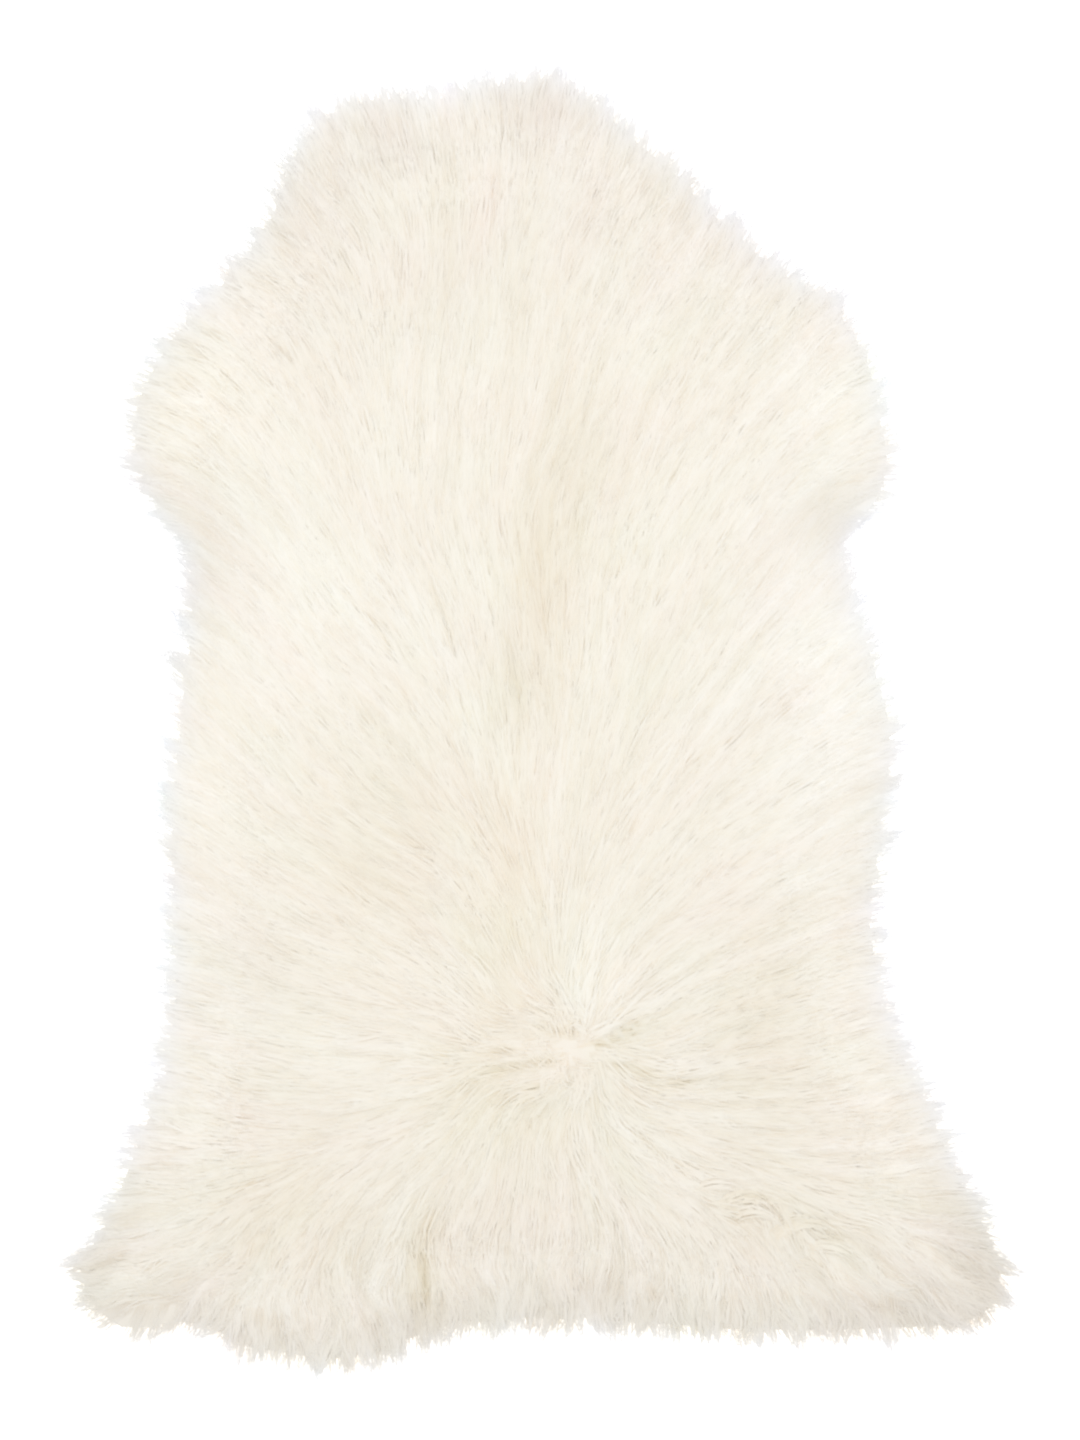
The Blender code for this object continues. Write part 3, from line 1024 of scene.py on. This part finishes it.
def strands(line, over, count, half_width, wave, close, relief):
    """Split each wisp's line into strands side by side, that far over the wool's top.

    The strands come closer toward their ends by the share close."""
    number, points = line.shape[:2]
    along = np.linspace(0, 1, points)
    ahead = unit(np.gradient(line, axis=1)).repeat(count, axis=0)
    side = np.stack((ahead[..., 1], -ahead[..., 0]), axis=-1)
    line, over = line.repeat(count, axis=0), over.repeat(count, axis=0)
    jitter = rng.uniform(-PLACE_JITTER, PLACE_JITTER, (len(line), 1))
    place = np.tile(np.linspace(-1, 1, count), number)[:, None] + jitter
    narrowing = ramp(along, NARROW_FROM, 1.0) * close.repeat(count)[:, None]
    spread = half_width.repeat(count)[:, None] * (1 - narrowing)
    phase = rng.uniform(0, FULL_TURN, number).repeat(count)[:, None]
    swing = np.sin(phase + WAVE_LAG * place + WAVE_RATE * points * along) * along
    swing = wave.repeat(count)[:, None] * swing
    run = np.linalg.norm(line[:, -1] - line[:, 0], axis=1)[:, None]
    shift = np.minimum(rng.normal(*END_SHIFT, (len(line), 1)), MOST_SHIFT) * run * along
    places = line + (place * spread + swing)[..., None] * side + shift[..., None] * ahead
    uneven = rng.normal(0, STRAND_UNEVEN, (len(line), 1)) - CROWN * place ** 2 * (1 - along)
    uneven = relief.repeat(count)[:, None] * uneven
    least = LEAST_HEIGHT + UNEVEN_REST * rng.uniform(0, 1, over.shape)
    heights = np.maximum(clear(places) + over + uneven, least)
    return np.concatenate((places, heights[..., None]), axis=-1)


# %% [markdown]
# How far the wool hangs out over the floor varies along the rim. A table says where it hangs farther out
# and where it was cut back, and soft random lumps make the rest of the rim ragged.

# %% Fringe
FRINGE = (
    # (x, y, radius, how much farther out the wool hangs there)
    (0.285, -0.075, 0.060, 0.010),
    (-0.300, -0.055, 0.060, 0.008),
    (-0.285, 0.050, 0.040, 0.005),
    (-0.300, -0.180, 0.060, 0.003),
    (-0.320, 0.180, 0.040, 0.004),
    (-0.215, 0.410, 0.050, 0.003),
    (0.270, 0.230, 0.050, 0.003),
    (0.262, 0.030, 0.060, 0.002),
    (-0.320, -0.315, 0.040, 0.002),
    (0.196, -0.481, 0.035, -0.007),
    (0.000, -0.472, 0.030, -0.004),
    (-0.104, -0.490, 0.025, -0.004),
    (-0.274, 0.122, 0.022, -0.007),
    (0.020, 0.490, 0.080, 0.001),
    (-0.084, 0.478, 0.012, -0.006),
)
RAGGED_WIDTH = 0.020

fringe = np.zeros(grid.shape[:2])
for x, y, radius, farther in FRINGE:
    fringe = fringe + farther * near_to(grid, (x, y), radius)
ragged_map = lumps(RAGGED_WIDTH)
print("fringe from", round(fringe.min() * 1000), "to", round(fringe.max() * 1000), "mm")

# %% [markdown]
# Wisps stand about 8 mm apart over the whole hide, in rows that are a little uneven, because places drawn
# freely would leave bare spots and heaps. More of them stand close together in the whorl.

# %% Places of the wisps
WISP_GAP = 0.0077
ROW_GAP = 0.866  # from row to row, as a share of the gap
ROW_UNEVEN = 0.42
HIND_LINE = -0.37
RIM_BAND = 0.042
WHORL_WISPS = 130
WHORL_SPREAD = 0.009


def uneven_rows(gap):
    """Places in staggered rows over the hide, each a little off."""
    xs = np.arange(GRID_X[0], GRID_X[-1], gap)
    ys = np.arange(GRID_Y[0], GRID_Y[-1], gap * ROW_GAP)
    x, y = np.meshgrid(xs, ys)
    x[::2] += gap / 2
    places = np.stack((x.ravel(), y.ravel()), axis=-1)
    places += rng.uniform(-ROW_UNEVEN, ROW_UNEVEN, places.shape) * gap
    return places[read(in_edge, places) > 0]


roots = uneven_rows(WISP_GAP)
hind = roots[:, 1] < HIND_LINE
near_rim = (read(in_edge, roots) < RIM_BAND) & ~hind
round_whorl = WHORL + rng.normal(0, WHORL_SPREAD, (WHORL_WISPS, 2))
print(len(roots), "places,", hind.sum(), "of them toward the hind edge and", near_rim.sum(), "near the rim")

# %% [markdown]
# Toward the hind edge the wool is longer and hangs in thicker, wavier locks, and the map of rough wool
# says how much. A wisp starts in the underwool and rises to the solid's top, so wisps lie over one another
# like thatch. In the heart of the whorl they are short and tangled.

# %% Wisps over the hide
STEPS = 20
CALM_RINGS = (0, 7, 13, 20)
RIM_RINGS = (0, 5, 10, 15, 20)
WAVY_RINGS = (0, 4, 8, 12, 16, 20)
WISP_STRANDS = 5
WISP_LENGTH = (0.056, 0.066)  # on the back, and where it is rough
LENGTH_SPREAD = (0.78, 1.18)
LEAST_LENGTH = 0.010
WISP_TURN = 3.5  # degrees off the lay at the root
WISP_BEND = 7.0  # and on toward the end
WAYWARD = (0.5, 1)  # how many times more they turn and bend where the wool is rough
TANGLED = (9, 6)  # and in the heart of the whorl
TANGLE_REACH = 0.008
WHORL_SHORTER = 0.45
SHORTER_REACH = 0.030
RAGGED = 0.010  # how unevenly wisps end at the rim
MOST_LONG = 1.5  # more than 1 lets most of them end near the longest
RAGGED_LUMPS = 0.003
BEYOND_LOCKS = 0.011  # how far the longest wisps pass the locks' ends
ROUGH_SHORTER = 0.005
RELIEF = (0.40, 0.90)  # how much of the depth below a wisp has, where it is calm and where it is rough
RIM_RELIEF = 0.8
RIM_RELIEF_FADE = (0.010, 0.040)  # how far inside the cut edge it starts to fade, and is gone
DEPTH = ((0.0, 0.0020), (0.3, 0.0005), (0.7, 0.0), (1.0, 0.0004))  # (share of the way, under the top)
FULL_DEPTH_HEIGHT = 0.024
LIFT_UNEVEN = 0.0003
LIFT_AT_ROOT = 0.3  # the share of its lift that a wisp has at its root
WISP_CLOSE = (0.25, 0.50)  # how much a wisp narrows, on the back and where it is rough
CLOSE_UNEVEN = 0.12
MOST_CLOSE = 0.85
WISP_HALF_WIDTH = (0.0036, 0.0046)
WISP_WAVE = (0.0009, 0.0016)
STRAND_WIDTH = (0.0015, 0.0021)
TONE_SPREAD = (0.15, 0.25)  # from wisp to wisp, and from strand to strand


def wisps(roots, rings):
    """Strands of the wisps that stand on the roots: their lines, widths and tones."""
    number = len(roots)
    tangle = near_to(roots, WHORL, TANGLE_REACH)
    hang = read(rough, roots)
    turn = rng.normal(0, np.radians(WISP_TURN), number) * (1 + WAYWARD[0] * hang + TANGLED[0] * tangle)
    bend = rng.normal(0, np.radians(WISP_BEND), number) * (1 + WAYWARD[1] * hang + TANGLED[1] * tangle)
    longest = between(WISP_LENGTH, hang) * rng.uniform(*LENGTH_SPREAD, number)
    longest = longest * (1 - WHORL_SHORTER * near_to(roots, WHORL, SHORTER_REACH))
    ragged = RAGGED * rng.uniform(0, 1, number) ** MOST_LONG + RAGGED_LUMPS * read(ragged_map, roots)
    ragged = ragged - BEYOND_LOCKS + ROUGH_SHORTER * hang - read(fringe, roots)
    length = free_length(roots, longest, turn, bend, ragged)
    keep = length > LEAST_LENGTH
    roots, turn, bend, hang, length = (part[keep] for part in (roots, turn, bend, hang, length))
    number = len(roots)
    line = walk(roots, length, turn, bend, STEPS)[:, rings]
    at_edge = 1 - ramp(read(in_edge, roots), *RIM_RELIEF_FADE)
    relief = between(RELIEF, np.maximum(hang, RIM_RELIEF * at_edge))
    thin = np.minimum(1, read(height, line) / FULL_DEPTH_HEIGHT)
    depth = np.interp(np.array(rings) / STEPS, *zip(*DEPTH)) * relief[:, None] * thin
    lift = relief * rng.normal(0, LIFT_UNEVEN, number)
    over = lift[:, None] * np.linspace(LIFT_AT_ROOT, 1, len(rings)) - depth
    close = np.clip(between(WISP_CLOSE, hang) + rng.normal(0, CLOSE_UNEVEN, number), 0, MOST_CLOSE)
    half_width, wave = between(WISP_HALF_WIDTH, hang), between(WISP_WAVE, hang)
    lines = strands(line, over, WISP_STRANDS, half_width, wave, close, relief)
    width = rng.uniform(*STRAND_WIDTH, len(lines))
    tone = 0.5 + TONE_SPREAD[0] * rng.normal(size=number).repeat(WISP_STRANDS)
    tone = tone + TONE_SPREAD[1] * rng.normal(size=len(lines))
    print(number, "wisps")
    return lines, width, np.clip(tone, 0, 1)


calm = wisps(np.concatenate((roots[~hind & ~near_rim], round_whorl)), CALM_RINGS)
rim = wisps(roots[near_rim], RIM_RINGS)
wavy = wisps(roots[hind], WAVY_RINGS)

# %% [markdown]
# At the right of the hind edge a few loose locks curl across the others. They don't follow the lay, so a
# table says where each one starts, which way it sets out, and how far it curls.

# %% Curled locks
CURLS = (
    # (x, y, lay at the root, degrees it curls by, length)
    (0.180, -0.394, 20.0, 120.0, 0.060),
    (0.176, -0.389, 30.0, 105.0, 0.050),
    (0.136, -0.369, 25.0, 110.0, 0.046),
    (0.146, -0.378, 40.0, 100.0, 0.042),
    (0.205, -0.400, 60.0, 90.0, 0.046),
    (0.192, -0.412, 80.0, 80.0, 0.044),
    (0.118, -0.356, 50.0, 80.0, 0.044),
)
CURL_LIFT = 0.0010
CURL_STRANDS = 10
CURL_HALF_WIDTH = 0.0040
CURL_WAVE = 0.1  # as a share of its half width
CURL_CLOSE = 0.55
CURL_STRAND_WIDTH = (0.0013, 0.0019)
CURL_TONE = (0.75, 0.25)  # its middle and its spread


def curled(table, rings):
    """Strands of the curled locks of a table: their lines, widths and tones."""
    root, lay_there, curl, length = np.split(np.array(table), (2, 3, 4), axis=1)
    along = np.array(rings) / rings[-1]
    heading = np.radians(lay_there + curl * along)
    way = np.stack((np.sin(heading), np.cos(heading)), axis=-1)
    line = root[:, None] + (length * along[1])[:, None] * (np.cumsum(way, axis=1) - way[:, :1])
    every = np.ones(len(table))
    over = CURL_LIFT * np.sin(np.pi * along) * every[:, None]
    half = CURL_HALF_WIDTH * every
    lines = strands(line, over, CURL_STRANDS, half, CURL_WAVE * half, CURL_CLOSE * every, every)
    width = rng.uniform(*CURL_STRAND_WIDTH, len(lines))
    tone = CURL_TONE[0] + CURL_TONE[1] * rng.normal(size=len(lines))
    return lines, width, np.clip(tone, 0, 1)


def joined(first, second):
    """Two sets of lines, widths and tones as one."""
    return [np.concatenate(pair) for pair in zip(first, second)]


wavy = joined(wavy, curled(CURLS, WAVY_RINGS))
print(len(wavy[0]), "strands toward the hind edge, with the curled locks")

# %% [markdown]
# A few single strands, the most bleached, lie on top of the wisps and cross them at small angles. They
# give the calm wool its fine bright lines.

# %% Single strands on top
LOOSE_GAP = 0.0112
LOOSE_LENGTH = (0.036, 0.066)
LOOSE_LEAST = 0.012
LOOSE_TURN = 5.0
LOOSE_BEND = 12.0
LOOSE_RAGGED = (-0.006, 0.008)
LOOSE_OVER = ((0.0, -0.0010), (0.25, 0.0002), (0.7, 0.0004), (1.0, 0.0001))  # (share of the way, height)
LOOSE_WIDTH = (0.0008, 0.0013)
LOOSE_TONE = (0.75, 1.3)


def loose(roots, rings):
    """Single long strands that start at the roots: their lines, widths and tones."""
    number = len(roots)
    turn = rng.normal(0, np.radians(LOOSE_TURN), number)
    bend = rng.normal(0, np.radians(LOOSE_BEND), number)
    ragged = rng.uniform(*LOOSE_RAGGED, number)
    length = free_length(roots, rng.uniform(*LOOSE_LENGTH, number), turn, bend, ragged)
    keep = length > LOOSE_LEAST
    roots, turn, bend, length = (part[keep] for part in (roots, turn, bend, length))
    line = walk(roots, length, turn, bend, STEPS)[:, rings]
    zero = np.zeros(len(roots))
    over = np.interp(np.array(rings) / STEPS, *zip(*LOOSE_OVER)) + zero[:, None]
    lines = strands(line, over, 1, zero, zero, zero, zero)
    return lines, rng.uniform(*LOOSE_WIDTH, len(lines)), rng.uniform(*LOOSE_TONE, len(lines))


calm = joined(calm, loose(uneven_rows(LOOSE_GAP), CALM_RINGS))
print(len(calm[0]), "strands on the back, with the single ones")

# %% [markdown]
# The fleece is made in bands from hind edge to neck, so that no piece gets too heavy.

# %% Fleece in bands
BANDS = (
    # (names from hind edge to neck, strands)
    (("wool_hind",), wavy),
    (("wool_rim_rump", "wool_rim_neck"), rim),
    (("wool_rump", "wool_loin", "wool_back"), calm),
)
fleece = []
for names, made in BANDS:
    order = np.argsort(made[0][:, 0, 1])
    for name, part in zip(names, np.array_split(order, len(names))):
        fleece.append(blades(name, *(values[part] for values in made)))

# %% [markdown]
# ## The rim
#
# Round the cut edge the wool hangs over the floor in tufts. Each lock of the solid becomes one tuft of
# thin wisps that leave the edge and end at uneven distances round the lock's point, so the outline is
# soft. Each tuft is gathered, leans and reaches in its own way.

# %% Lines of the tufts
TUFT_WISPS = 10
TUFT_GATHER = (0.60, 1.15)
TUFT_STRETCH = (0.92, 1.10)
TUFT_LEAN = 0.22
TUFT_DEPTH = (0.0002, 0.0016)
TUFT_START = 0.15  # how far inside the edge, as a share of the lock
WISP_STRETCH = (0.82, 1.14)
MOST_STRETCH = 1.10
TUFT_LONGER = (0.006, 0.015)  # how far past the lock's point
TUFT_BOW = 0.0025
TUFT_POINTS = 4

locks_count = len(hide_edge)
column = np.repeat(np.arange(locks_count), TUFT_WISPS)
number = len(column)
gather = rng.uniform(*TUFT_GATHER, locks_count)[column]
stretch = rng.uniform(*TUFT_STRETCH, locks_count)[column]
lean = rng.normal(0, TUFT_LEAN, locks_count)[column]
across = rng.uniform(-0.5, 0.5, number)
along_edge = (edge_after - hide_edge)[column]
outward = (lock_tips - lock_roots)[column]
depth = rng.uniform(*TUFT_DEPTH, number)
start = lock_roots[column] + across[:, None] * along_edge - TUFT_START * outward
reach = np.minimum(stretch * rng.uniform(*WISP_STRETCH, number), MOST_STRETCH)
longer = rng.uniform(*TUFT_LONGER, number) + read(fringe, lock_roots)[column]
end = lock_roots[column] + reach[:, None] * outward + (gather * across + lean)[:, None] * along_edge
end = end + longer[:, None] * unit(outward)
bow = rng.normal(0, TUFT_BOW, number)
share = np.linspace(0, 1, TUFT_POINTS)
sideways = unit(np.stack((outward[:, 1], -outward[:, 0]), axis=-1))
line = start[:, None] + (end - start)[:, None] * share[:, None]
line = line + (bow[:, None] * np.sin(np.pi * share))[..., None] * sideways[:, None]
print(number, "wisps in", locks_count, "tufts")

# %% [markdown]
# Most of a tuft's wisps follow the wool's top down to the floor. Nearly a third of them run lower, half
# way to the floor, and close the tuft from below.

# %% Tufts round the rim
TUFT_STRANDS = 5
TUFT_RISE = 0.7  # how much of its depth a wisp has lost at its end
LOW_SHARE = 0.3
LOW_DEPTH = 0.5
TUFT_HALF_WIDTH = 0.0034
TUFT_WAVE = 0.0014
TUFT_CLOSE = 0.2
TUFT_WIDTH = (0.0008, 0.0012)
TUFT_TONE = (0.5, 0.3)  # its middle and its spread

over = -depth[:, None] * (1 - TUFT_RISE * share)
low = (rng.uniform(0, 1, number) < LOW_SHARE)[:, None]
over = np.where(low, -LOW_DEPTH * read(height, line), over)
every = np.ones(number)
lines = strands(line, over, TUFT_STRANDS,
                TUFT_HALF_WIDTH * every, TUFT_WAVE * every, TUFT_CLOSE * every, every)
width = rng.uniform(*TUFT_WIDTH, len(lines))
tone = np.clip(TUFT_TONE[0] + TUFT_TONE[1] * rng.normal(size=len(lines)), 0, 1)
rim_tufts = blades("rim_tufts", lines, width, tone)

# %% [markdown]
# ## One body
#
# Every piece rides on the rug's one body and stands for its one solid, which is hidden. All wool goes
# with the hide, which lies flat.

for piece in (hide, underwool, rim_tufts, *fleece):
    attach(piece, "root")
    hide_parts("sheepskin")
